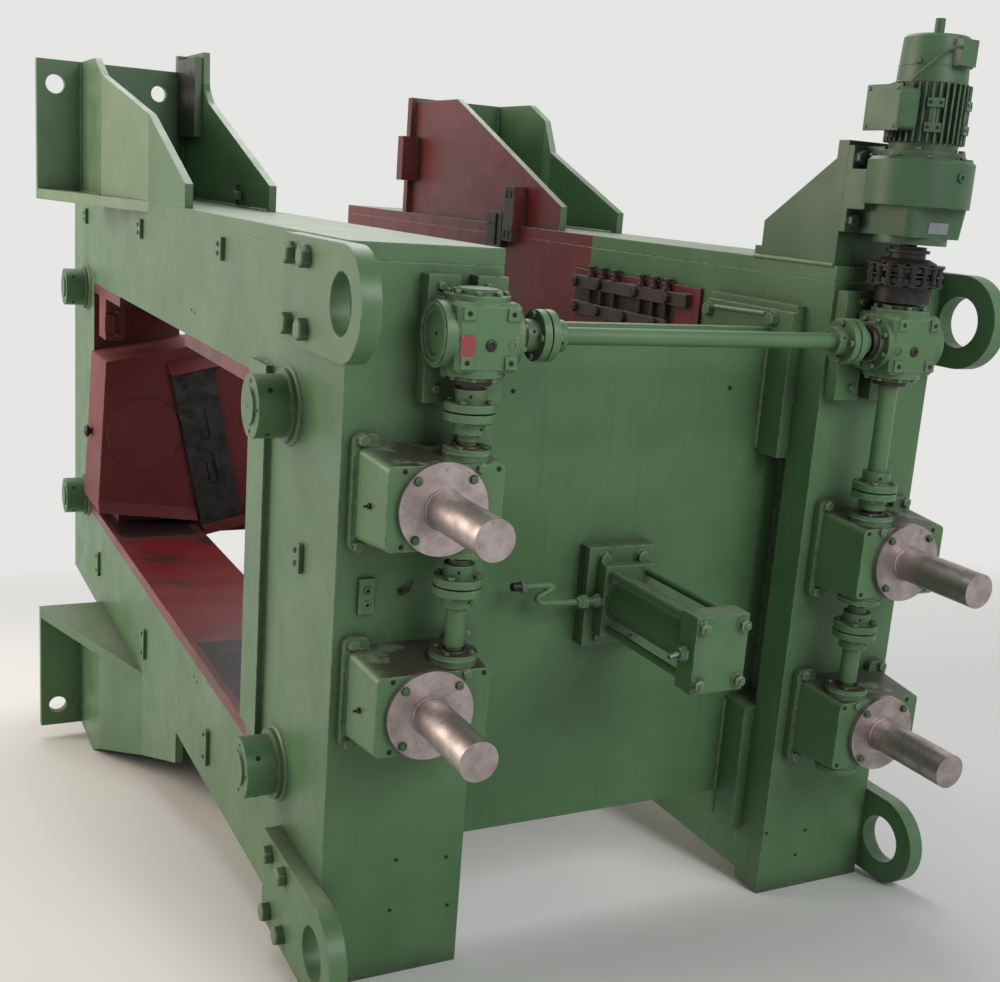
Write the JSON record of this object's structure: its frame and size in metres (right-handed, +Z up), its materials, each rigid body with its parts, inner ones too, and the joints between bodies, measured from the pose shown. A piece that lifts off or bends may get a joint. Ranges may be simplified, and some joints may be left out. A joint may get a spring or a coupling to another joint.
{
  "type": "straightening machine",
  "caption": "Two-frame straightening machine body with side windows, rear brackets, a front panel and worm screw jacks driven by shafts from a geared motor",
  "frame": {"origin": "middle of the machine's width and of its whole depth, on the floor it stands on", "axes": "+X to the machine's right as seen facing its front panel, +Y to the rear, +Z up; the machine leans forward by about 11 degrees, as it is stored"},
  "size_m": [2.22, 4.3176, 2.8891],
  "materials": {
    "green_paint": "worn reseda green machine enamel",
    "red_paint": "dull oxide red primer",
    "dark_steel": "dark oiled steel with wear",
    "bare_steel": "turned bare steel"
  },
  "bodies": {
    "machine": {"beam_guides": "red_paint", "bracket_guides": "dark_steel", "clamp_bars": "dark_steel", "cylinder_flange": "green_paint", "front_panel": "green_paint", "gear_unit": "green_paint", "gearbox_rails": "green_paint", "hydraulic_cylinder": "green_paint", "jack_guard_tubes": "bare_steel", "jack_housings": "green_paint", "left_bevel_gearbox": "green_paint", "left_bottom_plate": "green_paint", "left_front_column": "green_paint", "left_lifting_lugs": "green_paint", "left_lower_beam": "green_paint", "left_lower_rear_bracket": "green_paint", "left_rear_column": "green_paint", "left_top_beam": "green_paint", "left_top_plate": "green_paint", "left_upper_rear_bracket": "green_paint", "motor": "green_paint", "motor_bracket": "green_paint", "panel_flanges": "green_paint", "rear_cross_beam": "red_paint", "right_bevel_gearbox": "green_paint", "right_bottom_plate": "green_paint", "right_front_column": "green_paint", "right_lifting_lugs": "green_paint", "right_lower_beam": "green_paint", "right_lower_rear_bracket": "green_paint", "right_rear_column": "green_paint", "right_top_beam": "green_paint", "right_top_plate": "green_paint", "right_upper_rear_bracket": "green_paint", "side_bosses": "green_paint", "wear_plate_seats": "red_paint", "wear_plates": "dark_steel", "window_liners": "red_paint"},
    "cross_drive": {"cross_shaft": "green_paint"},
    "left_upper_drive": {"left_upper_shaft": "green_paint"},
    "left_lower_drive": {"left_lower_shaft": "green_paint"},
    "right_upper_drive": {"right_upper_shaft": "green_paint"},
    "right_lower_drive": {"right_lower_shaft": "green_paint"},
    "motor_drive": {"chain_coupling": "dark_steel"}
  },
  "joints": [
    {"name": "cross_shaft_spin", "type": "hinge", "parent": "machine", "child": "cross_drive", "pos_m": [0, -1.90163, 1.56753], "axis": [1, 0, 0], "continuous": true},
    {"name": "left_upper_shaft_spin", "type": "hinge", "parent": "machine", "child": "left_upper_drive", "pos_m": [-0.6, -1.86965, 1.4026], "axis": [0, -0.1904, 0.9817], "continuous": true},
    {"name": "left_lower_shaft_spin", "type": "hinge", "parent": "machine", "child": "left_lower_drive", "pos_m": [-0.6, -1.79407, 1.01286], "axis": [0, -0.1904, 0.9817], "continuous": true},
    {"name": "right_upper_shaft_spin", "type": "hinge", "parent": "machine", "child": "right_upper_drive", "pos_m": [0.6, -1.82719, 1.18368], "axis": [0, -0.1904, 0.9817], "continuous": true},
    {"name": "right_lower_shaft_spin", "type": "hinge", "parent": "machine", "child": "right_lower_drive", "pos_m": [0.6, -1.75333, 0.80278], "axis": [0, -0.1904, 0.9817], "continuous": true},
    {"name": "motor_coupling_spin", "type": "hinge", "parent": "machine", "child": "motor_drive", "pos_m": [0.6, -1.93456, 1.73737], "axis": [0, -0.1904, 0.9817], "continuous": true}
  ],
  "couplings": [
    {"joint": "left_upper_shaft_spin", "follows": "cross_shaft_spin", "ratio": -1},
    {"joint": "left_lower_shaft_spin", "follows": "cross_shaft_spin", "ratio": -1},
    {"joint": "right_upper_shaft_spin", "follows": "cross_shaft_spin", "ratio": 1},
    {"joint": "right_lower_shaft_spin", "follows": "cross_shaft_spin", "ratio": 1},
    {"joint": "motor_coupling_spin", "follows": "cross_shaft_spin", "ratio": 1}
  ]
}
